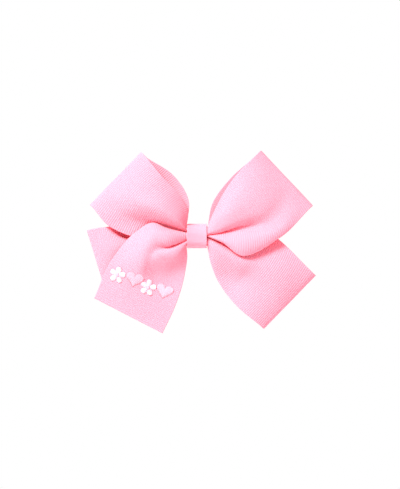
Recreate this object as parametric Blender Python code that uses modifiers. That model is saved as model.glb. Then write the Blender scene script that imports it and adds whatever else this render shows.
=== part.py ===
"""A ribbon hair bow on a sprung alligator clip.

The bow faces -Y, with +Z up and +X to its right, as it is worn. The origin is in the grip between the
clip's jaws, straight behind the middle of the bow. Lengths below are in millimetres, and a place is given
as (across, forward, up), where forward is the distance in front of the grip. place() turns it into metres.
"""

import math

import bmesh
import bpy
import numpy as np
from mathutils.bvhtree import BVHTree

MM = 0.001

# The ribbon
RIBBON_THICK = 0.5
ROOT_X = 5.3
NECK_X = 4.45
ROWS = 16
TAIL_ROWS = 18
COLUMNS = 20
FOLD_STEPS = 5

# The gathered waist, its binding thread and the wrap round them. A depth is (back, front).
WAIST_WIDTH = 8.2
WAIST_HALF_HEIGHT = 4.3
WAIST_DEPTH = (5.4, 11.5)
PLEATS = 9
PLEAT_DEPTH = 0.06
PLEAT_STEPS = 4
WAIST_CREASE = 50
THREAD_RADIUS = 0.22
THREAD_TURNS = 4
THREAD_STEPS = 24
THREAD_PITCH = 0.75
THREAD_HALF_HEIGHT = 4.85
THREAD_DEPTH = (4.85, 12.05)
WRAP_WIDTH = 9.5
WRAP_THICK = 0.6
WRAP_STEPS = 40
WRAP_HALF_HEIGHT = 6.0
WRAP_DEPTH = (0.1, 13.2)
ROUND_POWER = 3.2
BOXY_POWER = 6.0

# The clip: its jaws run along X, from the tip at -X to the finger tabs at +X
STEEL = 0.5
PIVOT_X = 10.0
TIP_X = -22.5
TAB_X = 23.0
TAB_BEND_X = 13.0
JAW_AT_TIP = 1.4
JAW_AT_PIVOT = 3.2
UPPER_TAB = (3.4, 4.4)
LOWER_TAB = (3.6, 9.6)
UPPER_HALF_WIDTH = 3.9
LOWER_HALF_WIDTH = 3.0
FLANGE = 1.0
LIP = 0.5
EAR_REACH = 1.9
EAR_SHOULDER = 0.45
EAR_X = (7.4, 8.2, 9.2, 10.8, 11.8, 12.6)
TOOTH_PITCH = 1.6
TOOTH_STATIONS = 17
PLATE_STATIONS = (-5.0, 0.0, 5.0)
TAB_STATIONS = (13.3, 15.0, 18.0, 21.0)
LIP_START_X = 14.0
NEARLY = 0.01
JAW_CREASE = 30
TEETH_END_X = -9.7
TOOTH_TIP = 0.25
PIN_RADIUS = 0.75
PIN_HOLE_RADIUS = 1.06
PIN_HOLE_SIDES = 24
PIN_HEAD_RADIUS = 1.6
PIN_HEAD_INNER = 4.45
PIN_END = 5.0
PIN_HEAD_RIM = 0.15
PIN_HEAD_FLAT = 0.7
PIN_STEPS = 20
SPRING_WIRE = 0.25
SPRING_RADIUS = 1.75
SPRING_TURNS = 4
SPRING_HALF_LENGTH = 1.4
SPRING_STEPS = 12
SPRING_UPPER_LEG = (17.5, 2.95)
SPRING_LOWER_BEND = (13.0, -2.65)
SPRING_LOWER_LEG = (17.0, -4.9)
LINING_HALF_WIDTH = 3.175
LINING_THICK = 0.4
LINING_OFFSET = 0.75
LINING_START_X = 7.0
LINING_END_X = 3.0
LINING_STEPS = 6
LINING_SHARES = (-1.0, -0.33, 0.33, 1.0)
GLUE_SIZE = (8.0, 0.4, 5.2)
GLUE_OFFSET = 1.45
GLUE_EDGE = 0.15

# The embroidered motifs on the tail
MOTIF_HALF_SIZE = 4.1
MOTIF_THICK = 0.5
MOTIF_LIFT = 0.85
MOTIF_SLOPE = -17.0
MOTIF_POINTS = 30
MOTIF_RINGS = 3
HEART_SIZE = 16.5
HEART_DROP = 2.5
FLOWER_VALLEY = 0.58
PETAL_ROUNDNESS = 0.7
PETALS = 5
WELL_IN_FRONT = 60.0
TAIL_DETAIL = (60, 40)
MOTIFS = (
    ("flower_1", -39.3, -19.3),
    ("heart_1", -30.9, -21.7),
    ("flower_2", -24.2, -25.5),
    ("heart_2", -15.9, -27.2),
)

PINK = (0.93, 0.52, 0.68, 1.0)
PALE_PINK = (0.95, 0.68, 0.79, 1.0)
WHITE = (0.93, 0.90, 0.92, 1.0)
STEEL_GREY = (0.62, 0.62, 0.64, 1.0)
GLUE = (0.88, 0.87, 0.80, 1.0)


# ---------------------------------------------------------------- small tools


def clear_scene():
    for thing in list(bpy.data.objects):
        bpy.data.objects.remove(thing, do_unlink=True)


def new_collection(name):
    collection = bpy.data.collections.new(name)
    bpy.context.scene.collection.children.link(collection)
    return collection


def make_material(name, colour, roughness, metallic=0.0):
    material = bpy.data.materials.new(name)
    material.use_nodes = True
    shader = material.node_tree.nodes["Principled BSDF"]
    shader.inputs["Base Color"].default_value = colour
    shader.inputs["Roughness"].default_value = roughness
    shader.inputs["Metallic"].default_value = metallic
    material.diffuse_color = colour
    return material


def place(across, forward, up):
    return (across * MM, -forward * MM, up * MM)


def through(stations, values, where):
    """A smooth curve through values given at uneven stations, read at each place in where."""
    stations = np.asarray(stations, float)
    values = np.asarray(values, float)
    where = np.asarray(where, float)
    if len(stations) == 2:
        part = (where - stations[0]) / (stations[1] - stations[0])
        return values[0] + part[:, None] * (values[1] - values[0])
    slopes = np.gradient(values, stations, axis=0)
    index = np.clip(np.searchsorted(stations, where) - 1, 0, len(stations) - 2)
    span = stations[index + 1] - stations[index]
    t = ((where - stations[index]) / span)[:, None]
    span = span[:, None]
    start = (2 * t**3 - 3 * t**2 + 1) * values[index] + (t**3 - 2 * t**2 + t) * span * slopes[index]
    end = (3 * t**2 - 2 * t**3) * values[index + 1] + (t**3 - t**2) * span * slopes[index + 1]
    return start + end


# ---------------------------------------------------------------- ribbon layers

# A layer of ribbon runs from its gathered root at the waist to its far edge, which is the fold of a loop
# or the tail's cut end. REACHES gives the shares of the way out at which its waypoints lie. Each station
# is one line of cloth along the layer, at a share of the ribbon's width counted from the layer's first
# selvedge: share, root (up, forward), then its waypoints (across, up, forward).

REACHES = {
    "tail": (0.16, 0.26, 0.40, 0.68),
    "upper_right_front": (0.18, 0.38, 0.68),
    "upper_right_back": (0.33, 0.67),
    "upper_left_front": (0.20, 0.42, 0.70),
    "upper_left_back": (0.33, 0.67),
    "lower_right_front": (0.18, 0.38, 0.68),
    "lower_right_back": (0.33, 0.67),
    "lower_left_front": (0.35, 0.68, 0.85),
    "lower_left_back": (0.33, 0.67),
}
LAYERS = {
    "tail": (
        (0.00, (1.5, 10.3), (-15.5, 4.0, 13.5), (-21.6, 6.5, 12.5), (-29.5, 2.5, 11.5), (-42.3, -12.0, 10.2)),
        (0.12, (1.2, 11.5), (-15.3, 1.8, 16.5), (-21.3, 4.0, 15.5), (-28.8, -1.2, 13.5), (-40.0, -14.6, 10.6)),
        (0.25, (0.1, 12.0), (-14.8, -1.2, 17.5), (-21.0, 0.3, 17.2), (-27.6, -5.0, 15.4), (-36.6, -18.0, 11.0)),
        (0.36, (-1.4, 11.7), (-14.2, -4.0, 16.2), (-20.6, -3.2, 17.0), (-26.4, -8.4, 16.2), (-33.4, -20.6, 11.0)),
        (0.42, (-2.0, 10.9), (-13.9, -5.2, 14.2), (-20.2, -5.0, 16.2), (-25.6, -10.3, 16.0), (-31.4, -22.0, 10.8)),
        (0.46, (-2.1, 10.0), (-13.8, -5.4, 13.2), (-19.9, -6.2, 15.6), (-25.0, -11.5, 15.6), (-30.1, -22.9, 10.6)),
        (0.56, (-2.6, 11.0), (-13.0, -7.2, 15.8), (-18.8, -9.4, 16.4), (-23.2, -14.6, 13.6), (-26.7, -25.3, 10.0)),
        (0.68, (-3.3, 11.6), (-11.2, -9.6, 15.6), (-16.2, -13.0, 14.4), (-20.0, -18.0, 11.0), (-22.6, -28.3, 9.3)),
        (0.82, (-4.1, 10.9), (-8.4, -11.2, 13.2), (-11.8, -15.8, 11.4), (-14.8, -21.2, 9.4), (-17.6, -31.6, 9.0)),
        (1.00, (-4.6, 9.6), (-4.9, -11.5, 10.5), (-5.6, -16.5, 9.6), (-7.0, -23.5, 9.2), (-11.0, -35.5, 9.0)),
    ),
    "upper_right_front": (
        (0.00, (4.6, 10.2), (8.0, 10.8, 11.0), (12.3, 19.5, 12.0), (19.4, 29.9, 12.8)),
        (0.22, (3.7, 11.3), (9.5, 9.3, 14.5), (15.0, 14.5, 17.0), (24.5, 23.2, 15.6)),
        (0.42, (2.2, 12.0), (11.0, 5.5, 15.0), (18.0, 9.5, 17.5), (30.0, 16.0, 15.8)),
        (0.54, (1.0, 11.9), (12.0, 3.0, 14.0), (20.0, 6.2, 15.8), (33.0, 11.8, 14.8)),
        (0.60, (0.6, 10.9), (12.3, 1.9, 12.2), (20.3, 4.9, 13.6), (34.6, 9.8, 13.6)),
        (0.66, (0.8, 9.9), (12.5, 2.3, 10.6), (20.8, 4.6, 12.3), (36.0, 7.8, 13.0)),
        (0.76, (0.4, 10.6), (12.8, 0.8, 12.2), (21.5, 1.4, 14.0), (38.0, 4.8, 13.6)),
        (0.88, (0.0, 11.3), (13.0, -1.9, 14.2), (22.3, -3.6, 16.2), (39.8, 1.8, 14.2)),
        (0.96, (-0.1, 10.9), (13.0, -2.8, 14.2), (22.5, -7.6, 15.6), (40.9, -0.3, 13.3)),
        (1.00, (-0.3, 10.3), (12.8, -3.3, 13.4), (22.3, -9.7, 14.0), (41.3, -0.6, 12.5)),
    ),
    "upper_right_back": (
        (0.00, (4.7, 8.8), (8.1, 17.1, 6.8), (17.1, 29.2, 4.7)),
        (0.50, (2.6, 8.8), (16.5, 9.3, 5.9), (30.0, 17.7, 3.5)),
        (1.00, (0.3, 8.8), (20.3, 4.9, 7.6), (38.5, 6.8, 5.6)),
    ),
    "upper_left_front": (
        (0.00, (4.6, 9.4), (-4.6, 12.2, 11.0), (-9.6, 21.0, 12.5), (-17.2, 29.4, 13.0)),
        (0.30, (4.0, 10.4), (-8.5, 10.2, 14.7), (-15.6, 16.4, 17.0), (-24.8, 22.5, 15.2)),
        (0.55, (3.2, 10.9), (-11.0, 7.4, 15.2), (-20.0, 12.4, 17.2), (-31.0, 17.0, 15.2)),
        (0.68, (2.7, 10.2), (-12.2, 5.5, 13.2), (-22.3, 9.1, 13.8), (-34.6, 13.4, 13.0)),
        (0.78, (2.5, 9.4), (-12.6, 4.7, 11.2), (-23.6, 6.6, 10.8), (-37.3, 10.7, 11.2)),
        (1.00, (2.1, 8.8), (-13.2, 1.2, 9.6), (-27.0, -1.0, 9.8), (-42.5, 4.2, 10.2)),
    ),
    "upper_left_back": (
        (0.00, (4.7, 7.8), (-4.2, 18.0, 6.5), (-12.0, 30.5, 5.5)),
        (0.50, (3.0, 7.8), (-14.5, 10.5, 5.0), (-27.5, 18.5, 4.0)),
        (1.00, (1.0, 7.7), (-18.0, 3.0, 6.5), (-36.0, 5.0, 6.0)),
    ),
    "lower_right_front": (
        (0.00, (0.8, 7.5), (11.5, 3.0, 6.6), (24.0, 4.0, 6.6), (38.4, -0.2, 7.8)),
        (0.20, (-0.3, 7.9), (11.8, -0.5, 8.6), (22.5, -3.0, 9.5), (37.5, -8.0, 9.4)),
        (0.34, (-1.0, 9.2), (12.2, -3.9, 9.6), (21.5, -8.0, 11.2), (34.5, -13.0, 10.2)),
        (0.42, (-1.4, 10.7), (12.0, -5.2, 12.2), (21.0, -11.0, 12.6), (32.6, -15.8, 10.2)),
        (0.52, (-2.1, 11.3), (11.6, -7.0, 12.8), (20.2, -13.6, 12.4), (30.4, -18.8, 9.6)),
        (0.64, (-3.0, 11.4), (10.8, -8.9, 12.2), (18.6, -16.8, 10.2), (27.8, -22.3, 8.4)),
        (0.80, (-4.0, 10.7), (9.2, -11.0, 11.0), (15.6, -19.6, 8.2), (24.2, -27.6, 7.8)),
        (1.00, (-4.7, 8.8), (6.7, -12.5, 9.3), (10.0, -21.5, 7.6), (19.0, -34.0, 7.6)),
    ),
    "lower_right_back": (
        (0.00, (0.6, 6.3), (20.5, -1.0, 6.2), (39.5, -5.5, 3.5)),
        (0.50, (-2.0, 6.4), (17.0, -9.5, 4.0), (31.0, -19.5, 1.2)),
        (1.00, (-4.6, 6.4), (9.2, -19.0, 4.0), (18.5, -33.0, 1.8)),
    ),
    "lower_left_front": (
        (0.00, (-0.4, 6.9), (-19.0, -1.5, 6.0), (-37.5, -0.6, 6.8), (-45.5, 4.2, 6.4)),
        (0.25, (-1.6, 6.9), (-19.5, -5.5, 8.0), (-35.5, -7.0, 8.0), (-43.5, -4.6, 7.0)),
        (0.50, (-2.5, 6.9), (-17.5, -8.5, 5.4), (-33.0, -13.5, 6.4), (-41.0, -13.4, 6.4)),
        (0.75, (-3.6, 6.9), (-16.0, -12.0, 7.8), (-30.0, -20.5, 7.6), (-38.0, -22.4, 6.6)),
        (1.00, (-4.6, 6.9), (-12.5, -16.0, 6.0), (-26.5, -27.0, 6.4), (-34.5, -31.0, 6.0)),
    ),
    "lower_left_back": (
        (0.00, (0.0, 5.7), (-18.0, 0.0, 4.6), (-36.0, 5.0, 3.0)),
        (0.50, (-2.2, 5.7), (-18.0, -7.5, 3.6), (-33.5, -11.5, 1.6)),
        (1.00, (-4.6, 5.7), (-12.5, -15.5, 3.8), (-27.0, -26.5, 2.0)),
    ),
}

# Each far edge is (across, up, forward) at the first and the second selvedge. A loop's fold is a half
# ellipse: its radius holds the two layers apart, its reach is how far out it curves, and it takes over
# from the front layer where that already leans back by FOLD_START.
FAR_EDGES = {
    "tail": ((-50.9, -30.7, 9.2), (-17.0, -48.2, 8.6)),
    "upper_right": ((31.7, 42.4, 8.0), (57.5, 15.0, 7.5)),
    "upper_left": ((-27.5, 41.6, 8.5), (-53.1, 15.4, 8.0)),
    "lower_right": ((59.1, -19.6, 4.5), (33.2, -46.3, 4.0)),
    "lower_left": ((-54.7, 2.8, 4.2), (-43.5, -33.6, 3.8)),
}
FOLD_RADII = {"upper_right": 3.2, "upper_left": 2.5, "lower_right": 3.2, "lower_left": 1.8}
FOLD_REACHES = {"upper_right": 6.5, "upper_left": 4.0, "lower_right": 6.5, "lower_left": 3.0}

# A loop's front layer swells forward by this much on its way to the fold, from this share of the way out
SHOULDERS = {"upper_right": 1.5, "upper_left": 1.0, "lower_right": 1.5, "lower_left": 0.6}
SHOULDER_START = 0.5
SHOULDER_PEAK = 6.75
FOLD_START = math.radians(20.0)


def far_outward(name):
    """The direction, in the bow's own plane, in which a far edge faces away from the waist."""
    first, second = (np.array(end) for end in FAR_EDGES[name])
    outward = np.array((second[1] - first[1], 0.0, first[0] - second[0]))
    outward /= np.linalg.norm(outward)
    middle = (first + second) / 2
    return outward if outward[0] * middle[0] + outward[2] * middle[1] > 0 else -outward


def layer_points(name, far_edge, along, across):
    """The layer's grid of points, as (rows, columns, 3) of (across, forward, up)."""
    stations = LAYERS[name]
    shares = [s[0] for s in stations]
    root_x = math.copysign(ROOT_X, far_edge[0][0])
    reaches = (0.0,) + REACHES[name] + (1.0,)
    rungs = [through(shares, [(root_x, s[1][1], s[1][0]) for s in stations], across)]
    for step in range(2, len(stations[0])):
        rungs.append(through(shares, [(s[step][0], s[step][2], s[step][1]) for s in stations], across))
    rungs.append(far_edge[0] + across[:, None] * (far_edge[1] - far_edge[0]))
    lines = [through(reaches, [rung[column] for rung in rungs], along) for column in range(len(across))]
    return np.stack(lines, axis=1)


def shoulder_rise(name, along):
    """How far forward the front layer swells: it starts smoothly, and falls to nothing at the fold."""
    part = np.clip((along - SHOULDER_START) / (1.0 - SHOULDER_START), 0.0, 1.0)
    return SHOULDER_PEAK * SHOULDERS[name] * part**2 * (1.0 - part)


def far_ends(name):
    """The far edge's two ends as (across, forward, up)."""
    return np.array([(end[0], end[2], end[1]) for end in FAR_EDGES[name]])


def tail_points(rows, columns):
    along = np.linspace(0.0, 1.0, rows + 1)
    across = np.linspace(0.0, 1.0, columns + 1)
    return layer_points("tail", far_ends("tail"), along, across)


def loop_points(name, rows, columns, fold_steps):
    """A whole loop: the front layer out to the round fold, and the back layer home again."""
    along = np.linspace(0.0, 1.0, rows + 1)
    across = np.linspace(0.0, 1.0, columns + 1)
    radius = FOLD_RADII[name]
    outward = far_outward(name)
    forward = np.array((0.0, 1.0, 0.0))
    reach = FOLD_REACHES[name]
    centre = far_ends(name) - outward * reach
    start = forward * radius * math.cos(FOLD_START) + outward * reach * math.sin(FOLD_START)
    front = layer_points(name + "_front", centre + start, along, across)
    front[:, :, 1] += shoulder_rise(name, along)[:, None]
    back = layer_points(name + "_back", centre - forward * radius, along, across)
    middle = back[-1] + forward * radius
    fold = []
    for step in range(1, fold_steps + 1):
        angle = FOLD_START + (math.pi - FOLD_START) * step / (fold_steps + 1)
        fold.append(middle + forward * radius * math.cos(angle) + outward * reach * math.sin(angle))
    return np.concatenate([front, fold, back[::-1]])


def with_neck(points):
    """Adds the short straight neck inside the wrap to the root end of a layer."""
    neck = points[0].copy()
    neck[:, 0] = np.sign(neck[:, 0]) * NECK_X
    return np.concatenate([neck[None], points])


def sheet_faces(rows, columns, closed=False):
    """Quads between neighbouring rows; closed joins each row's last point to its first."""
    faces = []
    for row in range(rows - 1):
        for column in range(columns if closed else columns - 1):
            this = row * columns + column
            beside = row * columns + (column + 1) % columns
            faces.append((this, beside, beside + columns, this + columns))
    return faces


def mesh_object(name, points, faces, collection, material):
    mesh = bpy.data.meshes.new(name)
    mesh.from_pydata([place(*p) for p in np.reshape(points, (-1, 3))], [], faces)
    mesh.materials.append(material)
    mesh.shade_smooth()
    thing = bpy.data.objects.new(name, mesh)
    collection.objects.link(thing)
    return thing


def align_faces(thing):
    """Turns a mesh's faces to agree with each other, and outward where it is closed."""
    shape = bmesh.new()
    shape.from_mesh(thing.data)
    bmesh.ops.recalc_face_normals(shape, faces=shape.faces)
    shape.to_mesh(thing.data)
    shape.free()


def thicken(thing, thickness, offset=0.0, even=False):
    solid = thing.modifiers.new("thickness", "SOLIDIFY")
    solid.thickness = thickness * MM
    solid.offset = offset
    solid.use_even_offset = even


def sharpen(thing, degrees):
    thing.data.set_sharp_from_angle(angle=math.radians(degrees))


# ---------------------------------------------------------------- the bow


def make_ribbon(collection, material):
    for name in ("upper_right", "upper_left", "lower_right", "lower_left"):
        points = loop_points(name, ROWS, COLUMNS, FOLD_STEPS)
        points = with_neck(with_neck(points)[::-1])
        loop = mesh_object(
            "ribbon_loop_" + name, points, sheet_faces(*points.shape[:2]), collection, material
        )
        thicken(loop, RIBBON_THICK)
    points = with_neck(tail_points(TAIL_ROWS, COLUMNS))
    tail = mesh_object("ribbon_tail", points, sheet_faces(*points.shape[:2]), collection, material)
    thicken(tail, RIBBON_THICK)


def ring_point(angle, half_height, depth, back_power):
    """A point of a rounded loop round the waist, as (forward, up)."""
    power = ROUND_POWER if math.sin(angle) > 0 else back_power
    forward = math.copysign(abs(math.sin(angle)) ** (2 / power), math.sin(angle))
    up = math.copysign(abs(math.cos(angle)) ** (2 / power), math.cos(angle))
    middle = (depth[0] + depth[1]) / 2
    return middle + forward * (depth[1] - depth[0]) / 2, up * half_height


def make_waist(collection, material):
    """The gathered middle of the ribbon: a short pleated roll, open to the loops at both ends."""
    steps = PLEATS * PLEAT_STEPS
    middle = (WAIST_DEPTH[0] + WAIST_DEPTH[1]) / 2
    rings = []
    for across in (-WAIST_WIDTH / 2, 0.0, WAIST_WIDTH / 2):
        for step in range(steps):
            angle = 2 * math.pi * step / steps
            forward, up = ring_point(angle, WAIST_HALF_HEIGHT, WAIST_DEPTH, ROUND_POWER)
            fold = 1.0 - PLEAT_DEPTH * (1.0 - math.cos(PLEATS * angle)) / 2
            rings.append((across, middle + (forward - middle) * fold, up * fold))
    faces = sheet_faces(3, steps, closed=True)
    faces.append(tuple(range(steps)))
    faces.append(tuple(range(2 * steps, 3 * steps)))
    waist = mesh_object("ribbon_waist", rings, faces, collection, material)
    align_faces(waist)
    sharpen(waist, WAIST_CREASE)


def make_thread(collection, material):
    """Several turns of thread wound tightly round the waist."""
    steps = THREAD_STEPS * THREAD_TURNS
    points = []
    for step in range(steps + 1):
        turns = step / THREAD_STEPS
        forward, up = ring_point(
            2 * math.pi * turns, THREAD_HALF_HEIGHT, THREAD_DEPTH, ROUND_POWER
        )
        points.append(((turns - THREAD_TURNS / 2) * THREAD_PITCH, forward, up))
    make_wire("binding_thread", points, THREAD_RADIUS, collection, material)


def make_wire(name, points, radius, collection, material):
    curve = bpy.data.curves.new(name, "CURVE")
    curve.dimensions = "3D"
    curve.bevel_depth = radius * MM
    curve.bevel_resolution = 2
    curve.use_fill_caps = True
    line = curve.splines.new("POLY")
    line.points.add(len(points) - 1)
    for point, spot in zip(line.points, points):
        point.co = (*place(*spot), 1.0)
    curve.materials.append(material)
    thing = bpy.data.objects.new(name, curve)
    collection.objects.link(thing)


def make_wrap(collection, material):
    """The narrow ribbon round the waist, the thread and the upper jaw."""
    rings = []
    for across in (-WRAP_WIDTH / 2, 0.0, WRAP_WIDTH / 2):
        for step in range(WRAP_STEPS):
            angle = 2 * math.pi * step / WRAP_STEPS
            forward, up = ring_point(angle, WRAP_HALF_HEIGHT, WRAP_DEPTH, BOXY_POWER)
            rings.append((across, forward, up))
    wrap = mesh_object(
        "centre_wrap", rings, sheet_faces(3, WRAP_STEPS, closed=True), collection, material
    )
    align_faces(wrap)
    thicken(wrap, WRAP_THICK, offset=-1.0)


# ---------------------------------------------------------------- the clip


def jaw_height(across, tab):
    """The distance of a jaw's plate from the grip plane, before its tab bends away."""
    if across <= PIVOT_X:
        part = (across - TIP_X) / (PIVOT_X - TIP_X)
        return JAW_AT_TIP + part * (JAW_AT_PIVOT - JAW_AT_TIP)
    if across <= TAB_BEND_X:
        part = (across - PIVOT_X) / (TAB_BEND_X - PIVOT_X)
        return JAW_AT_PIVOT + part * (tab[0] - JAW_AT_PIVOT)
    part = (across - TAB_BEND_X) / (TAB_X - TAB_BEND_X)
    return tab[0] + part * (tab[1] - tab[0])


def flange_depth(across, height, toothed):
    """How far the jaw's side walls reach from its plate towards the other jaw."""
    if toothed and across <= TEETH_END_X + NEARLY:
        tooth = round((across - TIP_X) / (TOOTH_PITCH / 2))
        return height - TOOTH_TIP if tooth % 2 else LIP
    if EAR_X[0] < across < EAR_X[-1]:
        shoulder = across < EAR_X[2] - NEARLY or across > EAR_X[3] + NEARLY
        return height + EAR_REACH * (EAR_SHOULDER if shoulder else 1.0)
    if across > LIP_START_X:
        return LIP
    return FLANGE


def make_jaw(name, sign, half_width, tab, toothed, collection, material):
    """One stamped jaw: a plate with side walls, and ears for the pin. sign is +1 in front of the grip."""
    stations = [TIP_X + step * TOOTH_PITCH / 2 for step in range(TOOTH_STATIONS)]
    stations += [*PLATE_STATIONS, *EAR_X, *TAB_STATIONS, TAB_X]
    points = []
    for across in stations:
        height = jaw_height(across, tab)
        wall = flange_depth(across, height, toothed)
        for side, drop in ((-1, wall), (-1, 0), (-0.5, 0), (0.5, 0), (1, 0), (1, wall)):
            points.append((across, sign * (height - drop), side * half_width))
    jaw = mesh_object(name, points, sheet_faces(len(stations), 6), collection, material)
    thicken(jaw, STEEL, even=True)
    sharpen(jaw, JAW_CREASE)
    return jaw


def drill_pin_hole(jaw, cutters):
    """Cuts the running hole for the pin through both ears of a jaw."""
    bpy.ops.mesh.primitive_cylinder_add(
        vertices=PIN_HOLE_SIDES, radius=PIN_HOLE_RADIUS * MM, depth=4 * UPPER_HALF_WIDTH * MM
    )
    cutter = bpy.context.active_object
    cutter.name = jaw.name + "_hole_cutter"
    cutter.location = place(PIVOT_X, 0.0, 0.0)
    for home in list(cutter.users_collection):
        home.objects.unlink(cutter)
    cutters.objects.link(cutter)
    cutter.hide_render = True
    cutter.display_type = "WIRE"
    cut = jaw.modifiers.new("pin_hole", "BOOLEAN")
    cut.operation = "DIFFERENCE"
    cut.object = cutter


def set_origin_on_pivot(thing):
    """Moves the object's origin to the hinge axis and leaves its surface where it is."""
    pivot = place(PIVOT_X, 0.0, 0.0)
    for vertex in thing.data.vertices:
        vertex.co.x -= pivot[0]
    thing.location = pivot


def make_pin(collection, material):
    """A riveted pin, as a turned profile."""
    profile = (
        (0.0, PIN_END),
        (PIN_HEAD_RADIUS * PIN_HEAD_FLAT, PIN_END),
        (PIN_HEAD_RADIUS, PIN_HEAD_INNER + PIN_HEAD_RIM),
        (PIN_HEAD_RADIUS, PIN_HEAD_INNER),
        (PIN_RADIUS, PIN_HEAD_INNER),
        (PIN_RADIUS, -PIN_HEAD_INNER),
        (PIN_HEAD_RADIUS, -PIN_HEAD_INNER),
        (PIN_HEAD_RADIUS, -PIN_HEAD_INNER - PIN_HEAD_RIM),
        (PIN_HEAD_RADIUS * PIN_HEAD_FLAT, -PIN_END),
        (0.0, -PIN_END),
    )
    mesh = bpy.data.meshes.new("clip_pivot_pin")
    edges = [(i, i + 1) for i in range(len(profile) - 1)]
    mesh.from_pydata([(radius * MM, 0.0, up * MM) for radius, up in profile], edges, [])
    mesh.materials.append(material)
    pin = bpy.data.objects.new("clip_pivot_pin", mesh)
    collection.objects.link(pin)
    pin.location = place(PIVOT_X, 0.0, 0.0)
    turn = pin.modifiers.new("turned", "SCREW")
    turn.axis = "Z"
    turn.steps = PIN_STEPS
    turn.render_steps = PIN_STEPS
    turn.use_merge_vertices = True
    turn.merge_threshold = 0.00001
    turn.use_smooth_shade = True


def make_spring(collection, material):
    """A torsion spring round the pin, with a leg under each finger tab."""
    steps = SPRING_STEPS * SPRING_TURNS
    points = [(SPRING_UPPER_LEG[0], SPRING_UPPER_LEG[1], -SPRING_HALF_LENGTH)]
    for step in range(steps + SPRING_STEPS // 2 + 1):
        angle = math.pi / 2 + 2 * math.pi * step / SPRING_STEPS
        up = -SPRING_HALF_LENGTH + 2 * SPRING_HALF_LENGTH * step / (steps + SPRING_STEPS // 2)
        points.append(
            (
                PIVOT_X + SPRING_RADIUS * math.cos(angle),
                SPRING_RADIUS * math.sin(angle),
                up,
            )
        )
    for across, forward in (SPRING_LOWER_BEND, SPRING_LOWER_LEG):
        points.append((across, forward, SPRING_HALF_LENGTH))
    make_wire("clip_spring", points, SPRING_WIRE, collection, material)


def make_lining(collection, material):
    """A narrow ribbon glued along the front of the upper jaw, round its tip and back inside it."""
    path = []
    slope = math.atan((JAW_AT_PIVOT - JAW_AT_TIP) / (PIVOT_X - TIP_X))
    for across in np.linspace(LINING_START_X, TIP_X, LINING_STEPS + 1):
        path.append((across, jaw_height(across, UPPER_TAB) + LINING_OFFSET))
    tip_height = jaw_height(TIP_X, UPPER_TAB)
    for step in range(1, LINING_STEPS):
        angle = math.pi / 2 + slope + math.pi * step / LINING_STEPS
        path.append(
            (
                TIP_X + LINING_OFFSET * math.cos(angle),
                tip_height + LINING_OFFSET * math.sin(angle),
            )
        )
    for across in np.linspace(TIP_X, LINING_END_X, LINING_STEPS):
        path.append((across, jaw_height(across, UPPER_TAB) - LINING_OFFSET))
    points = []
    for across, forward in path:
        for share in LINING_SHARES:
            points.append((across, forward, share * LINING_HALF_WIDTH))
    lining = mesh_object(
        "clip_lining", points, sheet_faces(len(path), len(LINING_SHARES)), collection, material
    )
    thicken(lining, LINING_THICK)


def make_glue(collection, material):
    """The pad of set glue between the lined jaw and the waist."""
    shape = bmesh.new()
    bmesh.ops.create_cube(shape, size=1.0)
    bmesh.ops.scale(shape, vec=[side * MM for side in GLUE_SIZE], verts=shape.verts)
    mesh = bpy.data.meshes.new("glue_pad")
    shape.to_mesh(mesh)
    shape.free()
    mesh.materials.append(material)
    glue = bpy.data.objects.new("glue_pad", mesh)
    collection.objects.link(glue)
    glue.location = place(0.0, jaw_height(0.0, UPPER_TAB) + GLUE_OFFSET, 0.0)
    glue.rotation_euler.z = -math.atan((JAW_AT_PIVOT - JAW_AT_TIP) / (PIVOT_X - TIP_X))
    soften = glue.modifiers.new("soft_edges", "BEVEL")
    soften.width = GLUE_EDGE * MM
    soften.segments = 2
    soften.limit_method = "NONE"


# ---------------------------------------------------------------- the motifs


def heart_point(angle):
    across = 16 * math.sin(angle) ** 3
    up = 13 * math.cos(angle) - 5 * math.cos(2 * angle) - 2 * math.cos(3 * angle) - math.cos(4 * angle)
    return across / HEART_SIZE, (up + HEART_DROP) / HEART_SIZE


def flower_point(angle):
    petal = abs(math.cos(PETALS * angle / 2)) ** PETAL_ROUNDNESS
    radius = FLOWER_VALLEY + (1.0 - FLOWER_VALLEY) * petal
    return radius * math.sin(angle), radius * math.cos(angle)


def tail_tree():
    """The tail's middle surface, for laying the motifs on it."""
    points = tail_points(*TAIL_DETAIL)
    rows, columns = points.shape[:2]
    vertices = [place(*p) for p in points.reshape(-1, 3)]
    return BVHTree.FromPolygons(vertices, sheet_faces(rows, columns))


def make_motif(name, centre, outline, tree, collection, material):
    """A flat stitched patch that follows the tail, as a fan of rings out to its outline."""
    tilt = math.radians(MOTIF_SLOPE)
    flat = [(0.0, 0.0)]
    for ring in range(1, MOTIF_RINGS + 1):
        for step in range(MOTIF_POINTS):
            across, up = outline(2 * math.pi * step / MOTIF_POINTS)
            flat.append((across * ring / MOTIF_RINGS, up * ring / MOTIF_RINGS))
    points = []
    for across, up in flat:
        x = centre[0] + MOTIF_HALF_SIZE * (across * math.cos(tilt) - up * math.sin(tilt))
        z = centre[1] + MOTIF_HALF_SIZE * (across * math.sin(tilt) + up * math.cos(tilt))
        spot = tree.ray_cast(place(x, WELL_IN_FRONT, z), (0.0, 1.0, 0.0))[0]
        points.append((x, -spot.y / MM + MOTIF_LIFT, z))
    faces = [
        (0, 1 + step, 1 + (step + 1) % MOTIF_POINTS) for step in range(MOTIF_POINTS)
    ]
    for quad in sheet_faces(MOTIF_RINGS, MOTIF_POINTS, closed=True):
        faces.append(tuple(corner + 1 for corner in quad))
    motif = mesh_object(name, points, faces, collection, material)
    align_faces(motif)
    thicken(motif, MOTIF_THICK)


def make_motifs(collection, white, pale):
    tree = tail_tree()
    for name, across, up in MOTIFS:
        if name.startswith("heart"):
            make_motif(name, (across, up), heart_point, tree, collection, pale)
        else:
            make_motif(name, (across, up), flower_point, tree, collection, white)


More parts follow.
